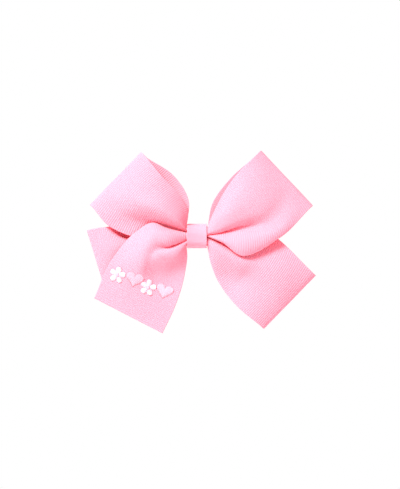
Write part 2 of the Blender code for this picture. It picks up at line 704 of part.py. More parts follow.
def main():
    clear_scene()
    parts = new_collection("hair_bow")
    cutters = new_collection("cutters")
    pink = make_material("ribbon_pink", PINK, 0.85)
    pale = make_material("thread_pale_pink", PALE_PINK, 0.6)
    white = make_material("thread_white", WHITE, 0.6)
    steel = make_material("steel", STEEL_GREY, 0.3, 1.0)
    glue = make_material("set_glue", GLUE, 0.4)
    make_ribbon(parts, pink)
    make_waist(parts, pink)
    make_thread(parts, white)
    make_wrap(parts, pink)
    make_glue(parts, glue)
    upper = make_jaw("clip_upper_jaw", 1, UPPER_HALF_WIDTH, UPPER_TAB, False, parts, steel)
    lower = make_jaw("clip_lower_jaw", -1, LOWER_HALF_WIDTH, LOWER_TAB, True, parts, steel)
    set_origin_on_pivot(lower)
    drill_pin_hole(upper, cutters)
    drill_pin_hole(lower, cutters)
    make_pin(parts, steel)
    make_spring(parts, steel)
    make_lining(parts, pink)
    make_motifs(parts, white, pale)


main()
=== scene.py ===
"""The looks of a ribbon hair bow on an alligator clip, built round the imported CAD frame.

Sizes are in millimetres, and a place is given as (across, forward, up), as in the frame's own design:
the bow faces -Y, and forward is the distance in front of the clip's grip. place() turns it into metres.
"""

import math

import bmesh
import bpy
import numpy as np
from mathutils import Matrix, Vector
from mathutils.bvhtree import BVHTree


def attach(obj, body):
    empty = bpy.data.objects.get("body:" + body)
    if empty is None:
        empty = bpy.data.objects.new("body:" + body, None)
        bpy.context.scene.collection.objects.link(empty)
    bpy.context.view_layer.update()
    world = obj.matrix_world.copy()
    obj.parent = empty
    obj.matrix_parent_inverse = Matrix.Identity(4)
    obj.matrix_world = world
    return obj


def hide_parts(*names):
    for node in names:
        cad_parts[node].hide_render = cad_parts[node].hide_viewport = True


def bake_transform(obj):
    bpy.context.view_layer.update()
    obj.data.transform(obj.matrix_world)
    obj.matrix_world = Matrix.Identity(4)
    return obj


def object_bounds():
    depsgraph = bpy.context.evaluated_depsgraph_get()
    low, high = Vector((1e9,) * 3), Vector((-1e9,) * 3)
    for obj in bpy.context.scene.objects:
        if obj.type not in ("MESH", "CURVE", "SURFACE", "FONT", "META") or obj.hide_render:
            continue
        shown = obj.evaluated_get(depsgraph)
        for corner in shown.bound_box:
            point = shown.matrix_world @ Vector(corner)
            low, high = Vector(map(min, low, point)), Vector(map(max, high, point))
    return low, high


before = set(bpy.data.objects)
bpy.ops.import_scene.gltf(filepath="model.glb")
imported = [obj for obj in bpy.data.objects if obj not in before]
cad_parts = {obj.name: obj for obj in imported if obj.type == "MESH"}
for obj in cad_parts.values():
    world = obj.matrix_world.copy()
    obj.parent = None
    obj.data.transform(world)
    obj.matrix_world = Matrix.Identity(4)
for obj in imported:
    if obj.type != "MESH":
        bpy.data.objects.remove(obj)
cad_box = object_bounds()

MM = 0.001
TINY = 1e-9
FORWARD = np.array((0.0, 1.0, 0.0))
UPWARD = np.array((0.0, 0.0, 1.0))

# The ribbon: its ribs run from selvedge to selvedge
RIBBON_WIDTH = 38.1
RIBBON_THICK = 0.36
RIB_PITCH = 1.0
RIB_HEIGHT = 0.12
RIB_ROWS = 4
COLUMNS = 36
DENSE_ROWS = 90
FOLD_ROWS = 25
ROOT_X = 5.3
NECK_X = 4.45

# A selvedge's share of the ribbon's width, the place of its inner column as a share of it, and how much
# of the ribs' height is left at the very edge
SELVEDGE_SHARE = 0.022
SELVEDGE_COLUMN = 0.4
SELVEDGE_RIBS = 0.25

# The melted bead on the tail's cut end: its radius is SEAL_THINNEST of SEAL_RADIUS, and a random share of
# SEAL_VARIATION more
SEAL_RADIUS = 0.24
SEAL_THINNEST = 0.85
SEAL_VARIATION = 0.3
SEAL_SEED = 7

# The waist and the wrap round it. A depth is (back, front).
WAIST_HALF_WIDTH = 4.1
WAIST_HALF_HEIGHT = 4.3
WAIST_DEPTH = (5.4, 11.5)
WAIST_ROWS = 17
WAIST_PINCH = 0.05
PLEATS = 9
PLEAT_STEPS = 10
PLEAT_DEPTH = 0.09
WRAP_WIDTH = 9.7
WRAP_THICK = 0.36
WRAP_RIB_PITCH = 0.8
WRAP_RIB_HEIGHT = 0.05
WRAP_HALF_HEIGHT = 6.0
WRAP_DEPTH = (0.1, 13.2)
WRAP_DENSE_STEPS = 720
WRAP_SHARES = (0.0, 0.02, 0.06, 0.18, 0.32, 0.5, 0.68, 0.82, 0.94, 0.98, 1.0)

# The wrap's front is drawn in between its edges, and creased: the crease's phase turns by CREASE_TURN a
# millimetre upward and by CREASE_SLANT from edge to edge, and it is weaker at the edges by CREASE_FADE
WRAP_SINK = 0.4
WRAP_CREASE = 0.13
CREASE_TURN = 1.1
CREASE_SLANT = 2.5
CREASE_FADE = 0.6

# How square each loop round the waist is: 2 would be an ellipse
ROUND_POWER = 3.2
BOXY_POWER = 6.0
WRAP_FRONT_POWER = 2.6

# The clip
PIVOT_X = 10.0
TIP_X = -22.5
JAW_AT_TIP = 1.4
JAW_AT_PIVOT = 3.2
LINING_HALF_WIDTH = 3.175
LINING_THICK = 0.3
LINING_OFFSET = 0.75
LINING_START_X = 7.0
LINING_END_X = 3.0
LINING_TURN_STEPS = 12
LINING_COLUMNS = 9

# The spring's wire radius, coil and legs. A leg is (across, forward).
SPRING_WIRE = 0.25
SPRING_RADIUS = 1.75
SPRING_TURNS = 4.5
SPRING_HALF_LENGTH = 1.4
SPRING_STEPS = 24
SPRING_SIDES = 12
SPRING_UPPER_LEG = (17.5, 2.95)
SPRING_LOWER_BEND = (13.0, -2.65)
SPRING_LOWER_LEG = (17.0, -4.9)

# The embroidery's stitches. A stitch's ends have STITCH_END of its middle's radius. The cloth below it is
# looked for from BEFORE_CLOTH in front of the grip.
THREAD_RADIUS = 0.2
THREAD_SIDES = 6
STITCH_SPACING = 0.3
STITCH_STEPS = 7
STITCH_LIFT = 0.2
STITCH_DOME = 0.42
STITCH_ROUNDNESS = 0.6
STITCH_END = 0.55
BEFORE_CLOTH = 60.0

# The motifs' outlines are drawn with a half size of one, and so are these lengths: the shortest stitch,
# and those of petals and knots. A stitch's dome grows with its length, up to its full height.
SHORTEST_STITCH = 0.06
DOME_PER_LENGTH = 1.6
HEART_FILL_TURN = 90.0
HEART_GROWTH = 1.08
HEART_HALF_SIZE = 16.5
HEART_RISE = 2.5
PETALS = 5
PETAL_MIDDLE = 0.54
PETAL_HALF_LENGTH = 0.46
PETAL_HALF_WIDTH = 0.42
PETAL_FULLNESS = 0.85
PETAL_FLARE = 0.22
KNOT_RADIUS = 0.24
KNOT_CORNERS = 23
KNOT_FILL_TURN = 20.0
KNOT_DOME = 0.5
KNOT_LIFT = 0.5

# The motifs on the tail, in a row that slopes down to the right: name, across, up
MOTIF_HALF_SIZE = 4.1
MOTIF_SLOPE = -17.0
MOTIFS = (
    ("flower_1", -39.3, -19.3),
    ("heart_1", -31.0, -22.0),
    ("flower_2", -24.2, -25.5),
    ("heart_2", -16.2, -27.9),
)

# The picture: the camera's frame is this high where the bow is, and looks at this place from far off
VIEW_HEIGHT = 243.0
VIEW_CENTRE = (1.55, 8.0, -4.25)
CAMERA_DISTANCE = 1000.0
CAMERA_REACH = 20000.0
SENSOR_WIDTH = 36.0

# The soft light from all round is faintly pink. The backdrop and what gloss reflects are plain white.
SOFT_COLOUR = (1.0, 0.74, 0.90, 1.0)
SOFT_LIGHT = 0.75
WHITE = (1.0, 1.0, 1.0, 1.0)

# The lamps, in metres and watts: name, place, power, size
LAMPS = (
    ("key", (-1.0, -1.5, 1.5), 118.0, 0.7),
    ("back_fill", (-0.5, 1.9, 0.6), 42.0, 1.0),
)

# The floor, in metres: it lies below the picture's lower edge
FLOOR_RADIUS = 0.35
FLOOR_DROP = 0.135
FLOOR_SIDES = 96


# ---------------------------------------------------------------- small tools


def place(across, forward, up):
    return (across * MM, -forward * MM, up * MM)


def through(stations, values, where):
    """A smooth curve through values given at uneven stations, read at each place in where."""
    stations = np.asarray(stations, float)
    values = np.asarray(values, float)
    slopes = np.gradient(values, stations, axis=0)
    index = np.clip(np.searchsorted(stations, where) - 1, 0, len(stations) - 2)
    span = stations[index + 1] - stations[index]
    t = ((where - stations[index]) / span)[:, None]
    span = span[:, None]
    start = (2 * t**3 - 3 * t**2 + 1) * values[index] + (t**3 - 2 * t**2 + t) * span * slopes[index]
    end = (3 * t**2 - 2 * t**3) * values[index + 1] + (t**3 - t**2) * span * slopes[index + 1]
    return start + end


def unit(vectors):
    """The vectors along the last axis, at a length of one."""
    return vectors / np.maximum(np.linalg.norm(vectors, axis=-1, keepdims=True), TINY)


def turning(angle):
    """The matrix that turns rows of (across, up) anticlockwise, as seen from the front."""
    return np.array(((math.cos(angle), math.sin(angle)), (-math.sin(angle), math.cos(angle))))


def sheet_faces(rows, columns, closed=False):
    """Quads between neighbouring rows; closed joins each row's last point to its first."""
    faces = []
    for row in range(rows - 1):
        for column in range(columns if closed else columns - 1):
            this = row * columns + column
            beside = row * columns + (column + 1) % columns
            faces.append((this, beside, beside + columns, this + columns))
    return faces


def new_piece(name, points, faces, material):
    mesh = bpy.data.meshes.new(name)
    mesh.from_pydata([place(*p) for p in np.reshape(points, (-1, 3))], [], faces)
    mesh.materials.append(material)
    mesh.shade_smooth()
    piece = bpy.data.objects.new(name, mesh)
    bpy.context.scene.collection.objects.link(piece)
    return piece


def tube(name, line, radii, material, sides=8, reference=FORWARD):
    points, faces = tube_mesh(line, radii, sides, 0, reference)
    return new_piece(name, points, faces, material)


def tube_mesh(line, radii, sides, first, reference=FORWARD):
    """The points and faces of a closed tube, with its faces counted from point number first.

    The tube's line is never parallel to the reference direction.
    """
    line = np.asarray(line, float)
    along = unit(np.gradient(line, axis=0))
    side = unit(np.cross(along, reference))
    over = np.cross(side, along)
    points = []
    for middle, a, b, radius in zip(line, side, over, radii):
        for step in range(sides):
            angle = 2 * math.pi * step / sides
            points.append(middle + radius * (a * math.cos(angle) + b * math.sin(angle)))
    faces = [tuple(first + i for i in face) for face in sheet_faces(len(line), sides, closed=True)]
    faces.append(tuple(first + i for i in reversed(range(sides))))
    last = first + (len(line) - 1) * sides
    faces.append(tuple(last + i for i in range(sides)))
    return points, faces


def thicken(piece, thickness, offset=0.0):
    solid = piece.modifiers.new("thickness", "SOLIDIFY")
    solid.thickness = thickness * MM
    solid.offset = offset


def lay_uv(piece, uv):
    """Gives every vertex's (across, along) place on the flat cloth, in millimetres, as a UV map."""
    layer = piece.data.uv_layers.new(name="cloth")
    corners = np.empty(len(piece.data.loops), dtype=np.int32)
    piece.data.loops.foreach_get("vertex_index", corners)
    layer.data.foreach_set("uv", np.asarray(uv, dtype=np.float32)[corners].ravel())


# ---------------------------------------------------------------- ribbon layers

# A layer of ribbon runs from its gathered root at the waist to its far edge, which is the fold of a loop
# or the tail's cut end. REACHES gives the shares of the way out at which its waypoints lie. Each station
# is one line of cloth along the layer, at a share of the ribbon's width counted from the layer's first
# selvedge: share, root (up, forward), then its waypoints (across, up, forward).

REACHES = {
    "tail": (0.16, 0.26, 0.40, 0.68),
    "upper_right_front": (0.18, 0.38, 0.68),
    "upper_right_back": (0.33, 0.67),
    "upper_left_front": (0.20, 0.42, 0.70),
    "upper_left_back": (0.33, 0.67),
    "lower_right_front": (0.18, 0.38, 0.68),
    "lower_right_back": (0.33, 0.67),
    "lower_left_front": (0.35, 0.68, 0.85),
    "lower_left_back": (0.33, 0.67),
}
LAYERS = {}
LAYERS["tail"] = (
    (0.00, (1.5, 10.3), (-15.5, 4.0, 13.5), (-21.6, 6.5, 12.5), (-29.5, 2.5, 11.5), (-42.3, -12.0, 10.2)),
    (0.12, (1.2, 11.5), (-15.3, 1.8, 16.5), (-21.3, 4.0, 15.5), (-28.8, -1.2, 13.5), (-40.0, -14.6, 10.6)),
    (0.25, (0.1, 12.0), (-14.8, -1.2, 17.5), (-21.0, 0.3, 17.2), (-27.6, -5.0, 15.4), (-36.6, -18.0, 11.0)),
    (0.36, (-1.4, 11.7), (-14.2, -4.0, 16.2), (-20.6, -3.2, 17.0), (-26.4, -8.4, 16.2), (-33.4, -20.6, 11.0)),
    (0.42, (-2.0, 10.9), (-13.9, -5.2, 14.2), (-20.2, -5.0, 16.2), (-25.6, -10.3, 16.0), (-31.4, -22.0, 10.8)),
    (0.46, (-2.1, 10.0), (-13.8, -5.4, 13.2), (-19.9, -6.2, 15.6), (-25.0, -11.5, 15.6), (-30.1, -22.9, 10.6)),
    (0.56, (-2.6, 11.0), (-13.0, -7.2, 15.8), (-18.8, -9.4, 16.4), (-23.2, -14.6, 13.6), (-26.7, -25.3, 10.0)),
    (0.68, (-3.3, 11.6), (-11.2, -9.6, 15.6), (-16.2, -13.0, 14.4), (-20.0, -18.0, 11.0), (-22.6, -28.3, 9.3)),
    (0.82, (-4.1, 10.9), (-8.4, -11.2, 13.2), (-11.8, -15.8, 11.4), (-14.8, -21.2, 9.4), (-17.6, -31.6, 9.0)),
    (1.00, (-4.6, 9.6), (-4.9, -11.5, 10.5), (-5.6, -16.5, 9.6), (-7.0, -23.5, 9.2), (-11.0, -35.5, 9.0)),
)
LAYERS["upper_right_front"] = (
    (0.00, (4.6, 10.2), (8.0, 10.8, 11.0), (12.3, 19.5, 12.0), (19.4, 29.9, 12.8)),
    (0.22, (3.7, 11.3), (9.5, 9.3, 14.5), (15.0, 14.5, 17.0), (24.5, 23.2, 15.6)),
    (0.42, (2.2, 12.0), (11.0, 5.5, 15.0), (18.0, 9.5, 17.5), (30.0, 16.0, 15.8)),
    (0.54, (1.0, 11.9), (12.0, 3.0, 14.0), (20.0, 6.2, 15.8), (33.0, 11.8, 14.8)),
    (0.60, (0.6, 10.9), (12.3, 1.9, 12.2), (20.3, 4.9, 13.6), (34.6, 9.8, 13.6)),
    (0.66, (0.8, 9.9), (12.5, 2.3, 10.6), (20.8, 4.6, 12.3), (36.0, 7.8, 13.0)),
    (0.76, (0.4, 10.6), (12.8, 0.8, 12.2), (21.5, 1.4, 14.0), (38.0, 4.8, 13.6)),
    (0.88, (0.0, 11.3), (13.0, -1.9, 14.2), (22.3, -3.6, 16.2), (39.8, 1.8, 14.2)),
    (0.96, (-0.1, 10.9), (13.0, -2.8, 14.2), (22.5, -7.6, 15.6), (40.9, -0.3, 13.3)),
    (1.00, (-0.3, 10.3), (12.8, -3.3, 13.4), (22.3, -9.7, 14.0), (41.3, -0.6, 12.5)),
)
LAYERS["upper_right_back"] = (
    (0.00, (4.7, 8.8), (8.1, 17.1, 6.8), (17.1, 29.2, 4.7)),
    (0.50, (2.6, 8.8), (16.5, 9.3, 5.9), (30.0, 17.7, 3.5)),
    (1.00, (0.3, 8.8), (20.3, 4.9, 7.6), (38.5, 6.8, 5.6)),
)
LAYERS["upper_left_front"] = (
    (0.00, (4.6, 9.4), (-4.6, 12.2, 11.0), (-9.6, 21.0, 12.5), (-17.2, 29.4, 13.0)),
    (0.30, (4.0, 10.4), (-8.5, 10.2, 14.7), (-15.6, 16.4, 17.0), (-24.8, 22.5, 15.2)),
    (0.55, (3.2, 10.9), (-11.0, 7.4, 15.2), (-20.0, 12.4, 17.2), (-31.0, 17.0, 15.2)),
    (0.68, (2.7, 10.2), (-12.2, 5.5, 13.2), (-22.3, 9.1, 13.8), (-34.6, 13.4, 13.0)),
    (0.78, (2.5, 9.4), (-12.6, 4.7, 11.2), (-23.6, 6.6, 10.8), (-37.3, 10.7, 11.2)),
    (1.00, (2.1, 8.8), (-13.2, 1.2, 9.6), (-27.0, -1.0, 9.8), (-42.5, 4.2, 10.2)),
)
LAYERS["upper_left_back"] = (
    (0.00, (4.7, 7.8), (-4.2, 18.0, 6.5), (-12.0, 30.5, 5.5)),
    (0.50, (3.0, 7.8), (-14.5, 10.5, 5.0), (-27.5, 18.5, 4.0)),
    (1.00, (1.0, 7.7), (-18.0, 3.0, 6.5), (-36.0, 5.0, 6.0)),
)
LAYERS["lower_right_front"] = (
    (0.00, (0.8, 7.5), (11.5, 3.0, 6.6), (24.0, 4.0, 6.6), (38.4, -0.2, 7.8)),
    (0.20, (-0.3, 7.9), (11.8, -0.5, 8.6), (22.5, -3.0, 9.5), (37.5, -8.0, 9.4)),
    (0.34, (-1.0, 9.2), (12.2, -3.9, 9.6), (21.5, -8.0, 11.2), (34.5, -13.0, 10.2)),
    (0.42, (-1.4, 10.7), (12.0, -5.2, 12.2), (21.0, -11.0, 12.6), (32.6, -15.8, 10.2)),
    (0.52, (-2.1, 11.3), (11.6, -7.0, 12.8), (20.2, -13.6, 12.4), (30.4, -18.8, 9.6)),
    (0.64, (-3.0, 11.4), (10.8, -8.9, 12.2), (18.6, -16.8, 10.2), (27.8, -22.3, 8.4)),
    (0.80, (-4.0, 10.7), (9.2, -11.0, 11.0), (15.6, -19.6, 8.2), (24.2, -27.6, 7.8)),
    (1.00, (-4.7, 8.8), (6.7, -12.5, 9.3), (10.0, -21.5, 7.6), (19.0, -34.0, 7.6)),
)
LAYERS["lower_right_back"] = (
    (0.00, (0.6, 6.3), (20.5, -1.0, 6.2), (39.5, -5.5, 3.5)),
    (0.50, (-2.0, 6.4), (17.0, -9.5, 4.0), (31.0, -19.5, 1.2)),
    (1.00, (-4.6, 6.4), (9.2, -19.0, 4.0), (18.5, -33.0, 1.8)),
)
LAYERS["lower_left_front"] = (
    (0.00, (-0.4, 6.9), (-19.0, -1.5, 6.0), (-37.5, -0.6, 6.8), (-45.5, 4.2, 6.4)),
    (0.25, (-1.6, 6.9), (-19.5, -5.5, 8.0), (-35.5, -7.0, 8.0), (-43.5, -4.6, 7.0)),
    (0.50, (-2.5, 6.9), (-17.5, -8.5, 5.4), (-33.0, -13.5, 6.4), (-41.0, -13.4, 6.4)),
    (0.75, (-3.6, 6.9), (-16.0, -12.0, 7.8), (-30.0, -20.5, 7.6), (-38.0, -22.4, 6.6)),
    (1.00, (-4.6, 6.9), (-12.5, -16.0, 6.0), (-26.5, -27.0, 6.4), (-34.5, -31.0, 6.0)),
)
LAYERS["lower_left_back"] = (
    (0.00, (0.0, 5.7), (-18.0, 0.0, 4.6), (-36.0, 5.0, 3.0)),
    (0.50, (-2.2, 5.7), (-18.0, -7.5, 3.6), (-33.5, -11.5, 1.6)),
    (1.00, (-4.6, 5.7), (-12.5, -15.5, 3.8), (-27.0, -26.5, 2.0)),
)

# Each far edge is (across, up, forward) at the first and the second selvedge. A loop's fold is a half
# ellipse: its radius holds the two layers apart, its reach is how far out it curves, and it takes over
# from the front layer where both lean back by the same angle. That place is found in FOLD_ROUNDS steps,
# starting at the angle FOLD_START round the fold and staying in its range.
FAR_EDGES = {
    "tail": ((-50.9, -30.7, 9.2), (-17.0, -48.2, 8.6)),
    "upper_right": ((31.7, 42.4, 8.0), (57.5, 15.0, 7.5)),
    "upper_left": ((-27.5, 41.6, 8.5), (-53.1, 15.4, 8.0)),
    "lower_right": ((59.1, -19.6, 4.5), (33.2, -46.3, 4.0)),
    "lower_left": ((-54.7, 2.8, 4.2), (-43.5, -33.6, 3.8)),
}
FOLD_RADII = {"upper_right": 3.2, "upper_left": 2.5, "lower_right": 3.2, "lower_left": 1.8}
FOLD_REACHES = {"upper_right": 6.5, "upper_left": 4.0, "lower_right": 6.5, "lower_left": 3.0}

FOLD_START = math.radians(20.0)
FOLD_START_RANGE = (math.radians(8.0), math.radians(60.0))
FOLD_ROUNDS = 6

# A loop's front layer swells forward by this much on its way to the fold, from this share of the way out.
# The swelling's curve is scaled by SHOULDER_SCALE, so that its peak is one.
SHOULDERS = {"upper_right": 1.5, "upper_left": 1.0, "lower_right": 1.5, "lower_left": 0.6}
SHOULDER_START = 0.5
SHOULDER_SCALE = 6.75


def far_ends(name):
    """The far edge's two ends as (across, forward, up)."""
    return np.array([(end[0], end[2], end[1]) for end in FAR_EDGES[name]])


def far_outward(name):
    """The direction, in the bow's own plane, in which a far edge faces away from the waist."""
    first, second = far_ends(name)
    outward = np.array((second[2] - first[2], 0.0, first[0] - second[0]))
    outward /= np.linalg.norm(outward)
    return outward if np.dot(outward, first + second) > 0 else -outward


def across_line(ends, across):
    """The points at shares of the way along a straight line."""
    return ends[0] + across[:, None] * (ends[1] - ends[0])


def layer_points(name, far_line, across):
    """A dense grid of the layer's points, as (rows, columns, 3) of (across, forward, up)."""
    stations = LAYERS[name]
    shares = [s[0] for s in stations]
    root_x = math.copysign(ROOT_X, far_line[0][0])
    reaches = (0.0,) + REACHES[name] + (1.0,)
    rungs = [through(shares, [(root_x, s[1][1], s[1][0]) for s in stations], across)]
    for step in range(2, len(stations[0])):
        rungs.append(through(shares, [(s[step][0], s[step][2], s[step][1]) for s in stations], across))
    rungs.append(far_line)
    out = np.linspace(0.0, 1.0, DENSE_ROWS)
    lines = [through(reaches, [rung[column] for rung in rungs], out) for column in range(len(across))]
    return np.stack(lines, axis=1)


def shoulder_rise(name, along):
    """How far forward the front layer swells: it starts smoothly, and falls to nothing at the fold."""
    part = np.clip((along - SHOULDER_START) / (1.0 - SHOULDER_START), 0.0, 1.0)
    return SHOULDER_SCALE * SHOULDERS[name] * part**2 * (1.0 - part)


def evened(points, ribs):
    """Resamples each column by its own arc length, so that the ribs are evenly spaced along the cloth."""
    steps = np.linalg.norm(np.diff(points, axis=0), axis=2)
    reach = np.concatenate([np.zeros((1, points.shape[1])), np.cumsum(steps, axis=0)])
    rows = ribs * RIB_ROWS + 1
    even = np.empty((rows, points.shape[1], 3))
    for column in range(points.shape[1]):
        wanted = np.linspace(0.0, reach[-1, column], rows)
        for axis in range(3):
            even[:, column, axis] = np.interp(wanted, reach[:, column], points[:, column, axis])
    return even


def mean_length(points):
    return np.linalg.norm(np.diff(points, axis=0), axis=2).sum(axis=0).mean()


def ribs_in(points):
    return max(2, round(mean_length(points) / RIB_PITCH))


def with_neck(points):
    """Adds the short straight neck inside the wrap to the root end of a layer."""
    neck = points[:1].copy()
    neck[0, :, 0] = np.sign(neck[0, :, 0]) * NECK_X
    return np.concatenate([neck, points])


def surface_normals(points):
    down = np.gradient(points, axis=0)
    over = np.gradient(points, axis=1)
    return unit(np.cross(down, over))


def across_shares():
    """Shares of the ribbon's width, with extra columns at each selvedge."""
    inner = np.linspace(SELVEDGE_SHARE, 1.0 - SELVEDGE_SHARE, COLUMNS - 3)
    column = SELVEDGE_SHARE * SELVEDGE_COLUMN
    return np.concatenate([[0.0, column], inner, [1.0 - column, 1.0]])


def ribbed(points, shares):
    """Raises the ribs, which fade into the flat selvedges."""
    rows = np.arange(points.shape[0])[:, None]
    edge = np.minimum(shares, 1.0 - shares)[None, :]
    fade = np.clip(edge / SELVEDGE_SHARE, SELVEDGE_RIBS, 1.0)
    height = RIB_HEIGHT * np.cos(2 * math.pi * rows / RIB_ROWS) * fade
    return points + surface_normals(points) * height[:, :, None]


def fold_offset(angle, radius, reach, outward):
    """The places round a fold's half ellipse, from its front at no angle to its back at half a turn."""
    angle = np.asarray(angle)[..., None]
    return FORWARD * radius * np.cos(angle) + outward * reach * np.sin(angle)


def loop_surface(name, shares):
    """A whole loop: the front layer out to the soft fold, and the back layer home again."""
    radius = FOLD_RADII[name]
    reach = FOLD_REACHES[name]
    outward = far_outward(name)
    middle = across_line(far_ends(name) - outward * reach, shares)
    rise = shoulder_rise(name, np.linspace(0.0, 1.0, DENSE_ROWS))
    start = np.full(len(shares), FOLD_START)
    for _ in range(FOLD_ROUNDS):
        fold_line = middle + fold_offset(start, radius, reach, outward)
        front = layer_points(name + "_front", fold_line, shares)
        front[:, :, 1] += rise[:, None]
        last = front[-1] - front[-3]
        lean = np.arctan2(-last[:, 1] * reach, last @ outward * radius)
        start = (start + np.clip(lean, *FOLD_START_RANGE)) / 2
    back = layer_points(name + "_back", middle - FORWARD * radius, shares)
    turns = start + (math.pi - start) * np.linspace(0.0, 1.0, FOLD_ROWS)[:, None]
    fold = middle + fold_offset(turns, radius, reach, outward)
    front = evened(with_neck(front), ribs_in(front))
    fold = evened(fold, ribs_in(fold))
    back = evened(with_neck(back)[::-1], ribs_in(back))
    return np.concatenate([front, fold[1:-1], back])


def tail_surface(shares):
    points = layer_points("tail", across_line(far_ends("tail"), shares), shares)
    return evened(with_neck(points), ribs_in(points))


def cloth_uv(points, shares, width):
    """Places on the flat cloth, in millimetres."""
    along = np.concatenate([[0.0], np.cumsum(np.linalg.norm(np.diff(points, axis=0), axis=2).mean(axis=1))])
    uv = np.empty(points.shape[:2] + (2,))
    uv[:, :, 0] = shares[None, :] * width
    uv[:, :, 1] = along[:, None]
    return uv.reshape(-1, 2)


def ribbon_piece(name, points, shares, node, material):
    shown = ribbed(points, shares)
    piece = new_piece(name, shown, sheet_faces(*shown.shape[:2]), material)
    lay_uv(piece, cloth_uv(points, shares, RIBBON_WIDTH))
    thicken(piece, RIBBON_THICK)
    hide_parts(node)
    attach(piece, "bow")


def make_ribbon(material):
    """Makes the four loops and the tail, and gives the tail's points back."""
    shares = across_shares()
    for name in ("upper_right", "upper_left", "lower_right", "lower_left"):
        points = loop_surface(name, shares)
        ribbon_piece("loop_" + name, points, shares, "ribbon_loop_" + name, material)
    points = tail_surface(shares)
    ribbon_piece("tail", points, shares, "ribbon_tail", material)
    return points


def make_sealed_end(points, material):
    """The melted bead along the tail's cut end."""
    line = points[-1]
    rng = np.random.default_rng(SEAL_SEED)
    radii = SEAL_RADIUS * (SEAL_THINNEST + SEAL_VARIATION * rng.random(len(line)))
    bead = tube("tail_sealed_end", line, radii, material)
    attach(bead, "bow")


# ---------------------------------------------------------------- materials


class Nodes:
    """A small helper that builds one material's node tree."""

    def __init__(self, name):
        self.material = bpy.data.materials.new(name)
        self.material.use_nodes = True
        self.tree = self.material.node_tree
        self.shader = self.tree.nodes["Principled BSDF"]

    def add(self, kind, **settings):
        node = self.tree.nodes.new(kind)
        for key, value in settings.items():
            setattr(node, key, value)
        return node

    def link(self, source, target):
        self.tree.links.new(source, target)

    def set(self, **values):
        for key, value in values.items():
            self.shader.inputs[key.replace("_", " ")].default_value = value

    def noise(self, vector, scale, detail=3.0):
        node = self.add("ShaderNodeTexNoise")
        node.inputs["Scale"].default_value = scale
        node.inputs["Detail"].default_value = detail
        self.link(vector, node.inputs["Vector"])
        return node.outputs["Fac"]

    def ramp(self, factor, colours, start=0.0, end=1.0):
        """Goes from the first colour to the second as the factor goes from start to end."""
        node = self.add("ShaderNodeValToRGB")
        for stop, colour, position in zip(node.color_ramp.elements, colours, (start, end)):
            stop.color = colour
            stop.position = position
        self.link(factor, node.inputs["Fac"])
        return node.outputs["Color"]

    def bump(self, height, strength, distance, normal=None):
        """Fine relief of this distance in millimetres, on top of another normal if one is given."""
        node = self.add("ShaderNodeBump")
        node.inputs["Strength"].default_value = strength
        node.inputs["Distance"].default_value = distance * MM
        self.link(height, node.inputs["Height"])
        if normal is not None:
            self.link(normal, node.inputs["Normal"])
        return node.outputs["Normal"]

    def colour(self, source):
        self.link(source, self.shader.inputs["Base Color"])

    def relief(self, source):
        self.link(source, self.shader.inputs["Normal"])


# Each material's colour wanders between a low and a high one
RIBBON_COLOURS = ((0.94, 0.255, 0.32, 1.0), (0.955, 0.285, 0.35, 1.0))
WHITE_THREAD_COLOURS = ((0.62, 0.47, 0.52, 1.0), (0.72, 0.57, 0.62, 1.0))
PALE_THREAD_COLOURS = ((0.92, 0.375, 0.44, 1.0), (0.94, 0.415, 0.48, 1.0))
STEEL_COLOURS = ((0.66, 0.655, 0.65, 1.0), (0.80, 0.795, 0.785, 1.0))
STEEL_ROUGHNESS = ((0.22, 0.22, 0.22, 1.0), (0.38, 0.38, 0.38, 1.0))
GLUE_COLOURS = ((0.80, 0.78, 0.70, 1.0), (0.90, 0.885, 0.83, 1.0))
FLOOR_COLOURS = ((0.93, 0.93, 0.93, 1.0), (0.95, 0.95, 0.95, 1.0))

# The warp threads' pitch in millimetres, a wave texture's own period at a scale of one, and the shares
# of the dye's unevenness and of the warp in the colour
WARP_PITCH = 0.36
WAVE_PERIOD = 2 * math.pi / 20
DYE_SHARE = 0.6
WARP_SHARE = 0.4


def grosgrain_material(name):
    """Matte ribbed cloth: fine warp threads over the ribs, and a faint unevenness of the dye."""
    nodes = Nodes(name)
    cloth = nodes.add("ShaderNodeUVMap", uv_map="cloth").outputs["UV"]
    spread = nodes.add("ShaderNodeTexCoord").outputs["Object"]
    warp = nodes.add("ShaderNodeTexWave", wave_type="BANDS", bands_direction="X")
    warp.inputs["Scale"].default_value = WAVE_PERIOD / WARP_PITCH
    warp.inputs["Distortion"].default_value = 0.6
    warp.inputs["Detail"].default_value = 1.0
    nodes.link(cloth, warp.inputs["Vector"])
    fuzz = nodes.noise(cloth, scale=6.0)
    dye = nodes.noise(spread, scale=60.0, detail=2.0)
    mixed = nodes.add("ShaderNodeMath", operation="MULTIPLY_ADD")
    nodes.link(dye, mixed.inputs[0])
    mixed.inputs[1].default_value = DYE_SHARE
    woven = nodes.add("ShaderNodeMath", operation="MULTIPLY")
    nodes.link(warp.outputs["Fac"], woven.inputs[0])
    woven.inputs[1].default_value = WARP_SHARE
    nodes.link(woven.outputs[0], mixed.inputs[2])
    nodes.colour(nodes.ramp(mixed.outputs[0], RIBBON_COLOURS, start=0.2, end=0.8))
    threads = nodes.bump(warp.outputs["Fac"], strength=0.2, distance=0.05)
    nodes.relief(nodes.bump(fuzz, strength=0.1, distance=0.03, normal=threads))
    nodes.set(Roughness=0.8, Sheen_Weight=0.12, Sheen_Roughness=0.5, Specular_IOR_Level=0.5)
    nodes.set(Sheen_Tint=(1.0, 0.9, 0.92, 1.0))
    nodes.set(Subsurface_Weight=0.12, Subsurface_Scale=0.0008, Subsurface_Radius=(1.0, 0.4, 0.5))
    return nodes.material


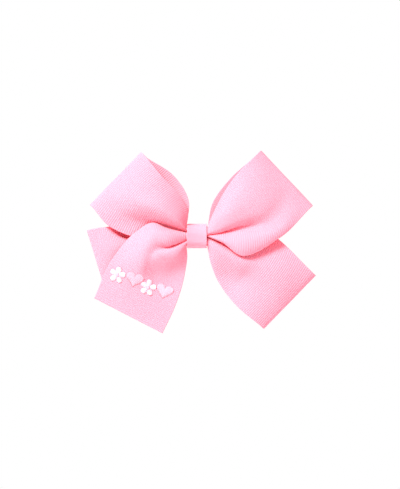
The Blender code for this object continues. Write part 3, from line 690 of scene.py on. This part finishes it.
def thread_material(name, colours):
    """Rayon embroidery thread: a soft lustre along twisted strands."""
    nodes = Nodes(name)
    spread = nodes.add("ShaderNodeTexCoord").outputs["Object"]
    strands = nodes.noise(spread, scale=2600.0, detail=2.0)
    patches = nodes.noise(spread, scale=350.0, detail=2.0)
    nodes.colour(nodes.ramp(patches, colours, start=0.3, end=0.7))
    nodes.relief(nodes.bump(strands, strength=0.3, distance=0.04))
    nodes.set(Roughness=0.45, Sheen_Weight=0.08, Sheen_Roughness=0.4, Specular_IOR_Level=0.35)
    return nodes.material


def steel_material(name):
    """Nickel-plated stamped steel, lightly brushed along the jaws."""
    nodes = Nodes(name)
    spread = nodes.add("ShaderNodeTexCoord").outputs["Object"]
    stretch = nodes.add("ShaderNodeMapping")
    stretch.inputs["Scale"].default_value = (150.0, 3000.0, 3000.0)
    nodes.link(spread, stretch.inputs["Vector"])
    brushed = nodes.noise(stretch.outputs["Vector"], scale=1.0, detail=4.0)
    smudges = nodes.noise(spread, scale=260.0)
    nodes.colour(nodes.ramp(smudges, STEEL_COLOURS, start=0.3, end=0.75))
    nodes.link(nodes.ramp(brushed, STEEL_ROUGHNESS), nodes.shader.inputs["Roughness"])
    nodes.relief(nodes.bump(brushed, strength=0.12, distance=0.03))
    nodes.set(Metallic=1.0)
    return nodes.material


def glue_material(name):
    """Set hot-melt glue: cloudy, soft gloss, slightly lumpy."""
    nodes = Nodes(name)
    spread = nodes.add("ShaderNodeTexCoord").outputs["Object"]
    cloud = nodes.noise(spread, scale=500.0)
    nodes.colour(nodes.ramp(cloud, GLUE_COLOURS, start=0.3, end=0.7))
    nodes.relief(nodes.bump(cloud, strength=0.4, distance=0.1))
    nodes.set(Roughness=0.3, Subsurface_Weight=0.4, Subsurface_Scale=0.001)
    return nodes.material


def floor_material(name):
    """A plain pale matte floor."""
    nodes = Nodes(name)
    spread = nodes.add("ShaderNodeTexCoord").outputs["Object"]
    grain = nodes.noise(spread, scale=40.0, detail=2.0)
    nodes.colour(nodes.ramp(grain, FLOOR_COLOURS))
    nodes.set(Roughness=0.9)
    return nodes.material


# ---------------------------------------------------------------- waist and wrap


def ring_point(angle, half_height, depth, front_power, back_power):
    """A point of a rounded loop round the waist, as (forward, up)."""
    power = front_power if math.sin(angle) > 0 else back_power
    forward = math.copysign(abs(math.sin(angle)) ** (2 / power), math.sin(angle))
    up = math.copysign(abs(math.cos(angle)) ** (2 / power), math.cos(angle))
    middle = (depth[0] + depth[1]) / 2
    return middle + forward * (depth[1] - depth[0]) / 2, up * half_height


def make_waist(material):
    """The gathered middle of the ribbon under the wrap: pleats run from side to side."""
    steps = PLEATS * PLEAT_STEPS
    middle = (WAIST_DEPTH[0] + WAIST_DEPTH[1]) / 2
    rows = np.linspace(-1.0, 1.0, WAIST_ROWS)
    points = []
    for row in rows:
        pinch = 1.0 - WAIST_PINCH * (1.0 - row**2)
        for step in range(steps):
            angle = 2 * math.pi * step / steps
            forward, up = ring_point(angle, WAIST_HALF_HEIGHT, WAIST_DEPTH, ROUND_POWER, ROUND_POWER)
            fold = pinch - PLEAT_DEPTH * (1.0 - math.cos(PLEATS * angle)) / 2
            points.append((row * WAIST_HALF_WIDTH, middle + (forward - middle) * fold, up * fold))
    faces = sheet_faces(len(rows), steps, closed=True)
    faces.append(tuple(range(steps)))
    last = (len(rows) - 1) * steps
    faces.append(tuple(reversed(range(last, last + steps))))
    waist = new_piece("waist", points, faces, material)
    lay_uv(waist, [(p[2], p[0]) for p in points])
    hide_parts("ribbon_waist")
    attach(waist, "bow")


def make_wrap(material):
    """The narrow ribbon round the waist, with its ribs from edge to edge, drawn in and creased in front."""
    loop = []
    for step in range(WRAP_DENSE_STEPS + 1):
        angle = 2 * math.pi * (step % WRAP_DENSE_STEPS) / WRAP_DENSE_STEPS
        loop.append(ring_point(angle, WRAP_HALF_HEIGHT, WRAP_DEPTH, WRAP_FRONT_POWER, BOXY_POWER))
    loop = np.array(loop)
    reach = np.concatenate([[0.0], np.cumsum(np.linalg.norm(np.diff(loop, axis=0), axis=1))])
    ribs = round(reach[-1] / WRAP_RIB_PITCH)
    steps = ribs * RIB_ROWS
    wanted = np.linspace(0.0, reach[-1], steps + 1)[:-1]
    forward = np.interp(wanted, reach, loop[:, 0])
    up = np.interp(wanted, reach, loop[:, 1])
    middle = (WRAP_DEPTH[0] + WRAP_DEPTH[1]) / 2
    points = []
    uv = []
    for share in WRAP_SHARES:
        edge = (2 * share - 1) ** 2
        for step in range(steps):
            radial = np.array((forward[step] - middle, up[step]))
            radial /= np.linalg.norm(radial)
            rise = WRAP_RIB_HEIGHT * math.cos(2 * math.pi * step / RIB_ROWS)
            phase = up[step] * CREASE_TURN + CREASE_SLANT * (share - 0.5)
            crease = WRAP_CREASE * math.sin(phase) * (1.0 - CREASE_FADE * edge)
            sink = -WRAP_SINK * (1.0 - edge)
            move = (rise + (crease + sink) * (forward[step] > middle)) * radial
            points.append(((share - 0.5) * WRAP_WIDTH, forward[step] + move[0], up[step] + move[1]))
            uv.append((share * WRAP_WIDTH, wanted[step]))
    faces = sheet_faces(len(WRAP_SHARES), steps, closed=True)
    wrap = new_piece("wrap", points, faces, material)
    lay_uv(wrap, uv)
    turn_outward(wrap)
    thicken(wrap, WRAP_THICK, offset=-1.0)
    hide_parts("centre_wrap")
    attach(wrap, "bow")


def turn_outward(piece):
    """Makes all faces of a piece face the same way, outward."""
    shape = bmesh.new()
    shape.from_mesh(piece.data)
    bmesh.ops.recalc_face_normals(shape, faces=shape.faces)
    shape.to_mesh(piece.data)
    shape.free()


# ---------------------------------------------------------------- clip


def jaw_height(across):
    """The distance of the upper jaw's plate from the grip plane, between its tip and the pin."""
    part = (across - TIP_X) / (PIVOT_X - TIP_X)
    return JAW_AT_TIP + part * (JAW_AT_PIVOT - JAW_AT_TIP)


def make_lining(material):
    """The ribbed narrow ribbon along the front of the upper jaw, round its tip and back inside it."""
    slope = math.atan((JAW_AT_PIVOT - JAW_AT_TIP) / (PIVOT_X - TIP_X))
    path = []
    for across in (LINING_START_X, TIP_X):
        path.append((across, jaw_height(across) + LINING_OFFSET))
    for step in range(1, LINING_TURN_STEPS):
        angle = math.pi / 2 + slope + math.pi * step / LINING_TURN_STEPS
        height = JAW_AT_TIP + LINING_OFFSET * math.sin(angle)
        path.append((TIP_X + LINING_OFFSET * math.cos(angle), height))
    for across in (TIP_X, LINING_END_X):
        path.append((across, jaw_height(across) - LINING_OFFSET))
    shares = np.linspace(0.0, 1.0, LINING_COLUMNS)
    line = np.array([[(x, d, (s - 0.5) * 2 * LINING_HALF_WIDTH) for s in shares] for x, d in path])
    points = evened(line, round(mean_length(line) / WRAP_RIB_PITCH))
    shown = ribbed(points, shares)
    lining = new_piece("lining", shown, sheet_faces(*shown.shape[:2]), material)
    lay_uv(lining, cloth_uv(points, shares, 2 * LINING_HALF_WIDTH))
    thicken(lining, LINING_THICK)
    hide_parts("clip_lining")
    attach(lining, "bow")


def make_spring(material):
    """The torsion spring round the pin: one leg stays with the bow, and the other with the lower jaw."""
    line = [(*SPRING_UPPER_LEG, -SPRING_HALF_LENGTH)]
    for part in np.linspace(0.0, 1.0, round(SPRING_STEPS * SPRING_TURNS) + 1):
        angle = math.pi / 2 + 2 * math.pi * SPRING_TURNS * part
        across = PIVOT_X + SPRING_RADIUS * math.cos(angle)
        line.append((across, SPRING_RADIUS * math.sin(angle), (2 * part - 1) * SPRING_HALF_LENGTH))
    for bend in (SPRING_LOWER_BEND, SPRING_LOWER_LEG):
        line.append((*bend, SPRING_HALF_LENGTH))
    radii = [SPRING_WIRE] * len(line)
    spring = tube("spring", line, radii, material, SPRING_SIDES, UPWARD)
    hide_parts("clip_spring")
    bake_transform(spring)


def finish_hard_parts(steel, glue, thread):
    """The CAD pieces whose shape is right keep it, and take their materials."""
    for node in ("clip_upper_jaw", "clip_lower_jaw", "clip_pivot_pin"):
        give_material(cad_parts[node], steel)
    give_material(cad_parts["glue_pad"], glue)
    give_material(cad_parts["binding_thread"], thread)


def give_material(node, material):
    for slot in node.material_slots:
        slot.material = material


# ---------------------------------------------------------------- embroidery


def heart_outline(steps=96):
    """The well-known heart curve, made of four cosines, raised a little and scaled to a half size of one."""
    points = []
    for step in range(steps):
        a = 2 * math.pi * step / steps
        up = 13 * math.cos(a) - 5 * math.cos(2 * a) - 2 * math.cos(3 * a) - math.cos(4 * a)
        points.append((16 * math.sin(a) ** 3 / HEART_HALF_SIZE, (up + HEART_RISE) / HEART_HALF_SIZE))
    return np.array(points)


def petal_outline(turn, steps=40):
    """One round petal that points away from the flower's middle."""
    points = []
    for step in range(steps):
        a = 2 * math.pi * step / steps
        along = PETAL_MIDDLE + PETAL_HALF_LENGTH * math.cos(a)
        wide = PETAL_HALF_WIDTH * math.sin(a) * (PETAL_FULLNESS + PETAL_FLARE * math.cos(a))
        across = along * math.sin(turn) + wide * math.cos(turn)
        up = along * math.cos(turn) - wide * math.sin(turn)
        points.append((across, up))
    return np.array(points)


def scan_lines(outline, angle, spacing):
    """Straight lines across an outline at an angle, as pairs of ends, for one stitch each."""
    turned = outline @ turning(-angle)
    back = turning(angle)
    low, high = turned[:, 1].min(), turned[:, 1].max()
    count = max(2, int((high - low) / spacing))
    lines = []
    for level in np.linspace(low, high, count + 2)[1:-1]:
        crossings = []
        for (x0, y0), (x1, y1) in zip(turned, np.roll(turned, -1, axis=0)):
            if (y0 - level) * (y1 - level) < 0:
                crossings.append(x0 + (x1 - x0) * (level - y0) / (y1 - y0))
        crossings.sort()
        for left, right in zip(crossings[::2], crossings[1::2]):
            lines.append((np.array((left, level)) @ back, np.array((right, level)) @ back))
    return lines


class Embroidery:
    """Stitches laid on the tail round one motif's centre."""

    def __init__(self, tree, centre):
        self.tree = tree
        self.centre = centre
        self.points = []
        self.faces = []
        self.turn = turning(math.radians(MOTIF_SLOPE))

    def on_cloth(self, spot, lift):
        """The place that lies lift above the cloth at a spot of the motif."""
        across, up = np.asarray(spot) @ self.turn * MOTIF_HALF_SIZE + np.array(self.centre)
        before = Vector((across, BEFORE_CLOTH, up))
        hit, normal, _, _ = self.tree.ray_cast(before, Vector(-FORWARD))
        if normal.y < 0:
            normal = -normal
        return np.array(hit + normal * lift)

    def stitch(self, start, end, dome, lift):
        """One stitch, which rises from its start by dome and sinks again to its end."""
        line = []
        radii = []
        for step in range(STITCH_STEPS):
            t = step / (STITCH_STEPS - 1)
            rise = math.sin(math.pi * t) ** STITCH_ROUNDNESS
            spot = np.asarray(start) * (1 - t) + np.asarray(end) * t
            line.append(self.on_cloth(spot, lift + dome * rise))
            radii.append(THREAD_RADIUS * (STITCH_END + (1.0 - STITCH_END) * rise))
        points, faces = tube_mesh(line, radii, THREAD_SIDES, len(self.points))
        self.points += points
        self.faces += faces

    def fill(self, outline, angle, dome=STITCH_DOME, lift=STITCH_LIFT):
        """Fills an outline with stitches at an angle."""
        for start, end in scan_lines(outline, angle, STITCH_SPACING / MOTIF_HALF_SIZE):
            length = np.linalg.norm(end - start)
            if length > SHORTEST_STITCH:
                self.stitch(start, end, dome * min(1.0, length * DOME_PER_LENGTH), lift)


def motif_piece(work, name, node, material):
    piece = new_piece(name, work.points, work.faces, material)
    if node:
        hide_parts(node)
    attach(piece, "bow")


def make_heart(tree, name, centre, material):
    work = Embroidery(tree, centre)
    work.fill(HEART_GROWTH * heart_outline(), math.radians(HEART_FILL_TURN))
    motif_piece(work, "stitched_" + name, name, material)


def make_flower(tree, name, centre, white, pale):
    work = Embroidery(tree, centre)
    for petal in range(PETALS):
        turn = 2 * math.pi * petal / PETALS
        work.fill(petal_outline(turn), -turn)
    motif_piece(work, "stitched_" + name, name, white)
    knot = Embroidery(tree, centre)
    angles = np.linspace(0.0, 2 * math.pi, KNOT_CORNERS + 1)[:-1]
    disc = KNOT_RADIUS * np.array([(math.cos(a), math.sin(a)) for a in angles])
    knot.fill(disc, math.radians(KNOT_FILL_TURN), KNOT_DOME, KNOT_LIFT)
    motif_piece(knot, "stitched_" + name + "_middle", None, pale)


def make_motifs(points, white, pale):
    """The row of hearts and flowers, laid on the tail's points."""
    vertices = [Vector(p) for p in points.reshape(-1, 3)]
    tree = BVHTree.FromPolygons(vertices, sheet_faces(*points.shape[:2]))
    for name, across, up in MOTIFS:
        if name.startswith("heart"):
            make_heart(tree, name, (across, up), pale)
        else:
            make_flower(tree, name, (across, up), white, pale)


# ---------------------------------------------------------------- stage


def make_camera():
    data = bpy.data.cameras.new("camera")
    data.sensor_width = SENSOR_WIDTH
    data.lens = SENSOR_WIDTH * CAMERA_DISTANCE / VIEW_HEIGHT
    data.clip_end = CAMERA_REACH * MM
    camera = bpy.data.objects.new("camera", data)
    across, forward, up = VIEW_CENTRE
    camera.location = place(across, forward + CAMERA_DISTANCE, up)
    camera.rotation_euler = (math.pi / 2, 0.0, 0.0)
    bpy.context.scene.collection.objects.link(camera)
    bpy.context.scene.camera = camera


def make_lamp(name, location, power, size):
    """A square lamp that is aimed at the bow."""
    data = bpy.data.lights.new(name, "AREA")
    data.energy = power
    data.size = size
    lamp = bpy.data.objects.new(name, data)
    lamp.location = location
    lamp.rotation_euler = (-lamp.location).to_track_quat("-Z", "Y").to_euler()
    bpy.context.scene.collection.objects.link(lamp)


def make_world():
    """Soft light from all round, while the camera and gloss see plain white."""
    world = bpy.data.worlds.new("studio")
    world.use_nodes = True
    nodes = world.node_tree.nodes
    links = world.node_tree.links
    soft = nodes["Background"]
    soft.inputs["Color"].default_value = SOFT_COLOUR
    soft.inputs["Strength"].default_value = SOFT_LIGHT
    seen = nodes.new("ShaderNodeBackground")
    seen.inputs["Color"].default_value = WHITE
    path = nodes.new("ShaderNodeLightPath")
    either = nodes.new("ShaderNodeMath")
    either.operation = "MAXIMUM"
    links.new(path.outputs["Is Camera Ray"], either.inputs[0])
    links.new(path.outputs["Is Glossy Ray"], either.inputs[1])
    mix = nodes.new("ShaderNodeMixShader")
    links.new(either.outputs[0], mix.inputs[0])
    links.new(soft.outputs[0], mix.inputs[1])
    links.new(seen.outputs[0], mix.inputs[2])
    links.new(mix.outputs[0], nodes["World Output"].inputs["Surface"])
    bpy.context.scene.world = world


def make_floor():
    """A pale disc below the bow, out of the picture."""
    mesh = bpy.data.meshes.new("floor")
    height = cad_box[0][2] - FLOOR_DROP
    turns = [2 * math.pi * step / FLOOR_SIDES for step in range(FLOOR_SIDES)]
    rim = [(FLOOR_RADIUS * math.cos(a), FLOOR_RADIUS * math.sin(a), height) for a in turns]
    mesh.from_pydata(rim, [], [tuple(range(FLOOR_SIDES))])
    mesh.materials.append(floor_material("pale_floor"))
    floor = bpy.data.objects.new("floor", mesh)
    bpy.context.scene.collection.objects.link(floor)


def make_stage():
    make_world()
    for lamp in LAMPS:
        make_lamp(*lamp)
    make_floor()
    bpy.context.scene.view_settings.view_transform = "Standard"


def main():
    make_camera()
    ribbon = grosgrain_material("grosgrain")
    white = thread_material("white_thread", WHITE_THREAD_COLOURS)
    pale = thread_material("pale_pink_thread", PALE_THREAD_COLOURS)
    steel = steel_material("nickel_plate")
    glue = glue_material("set_glue")
    tail_points = make_ribbon(ribbon)
    make_sealed_end(tail_points, ribbon)
    make_waist(ribbon)
    make_wrap(ribbon)
    make_lining(ribbon)
    make_spring(steel)
    make_motifs(tail_points, white, pale)
    finish_hard_parts(steel, glue, white)
    make_stage()


main()
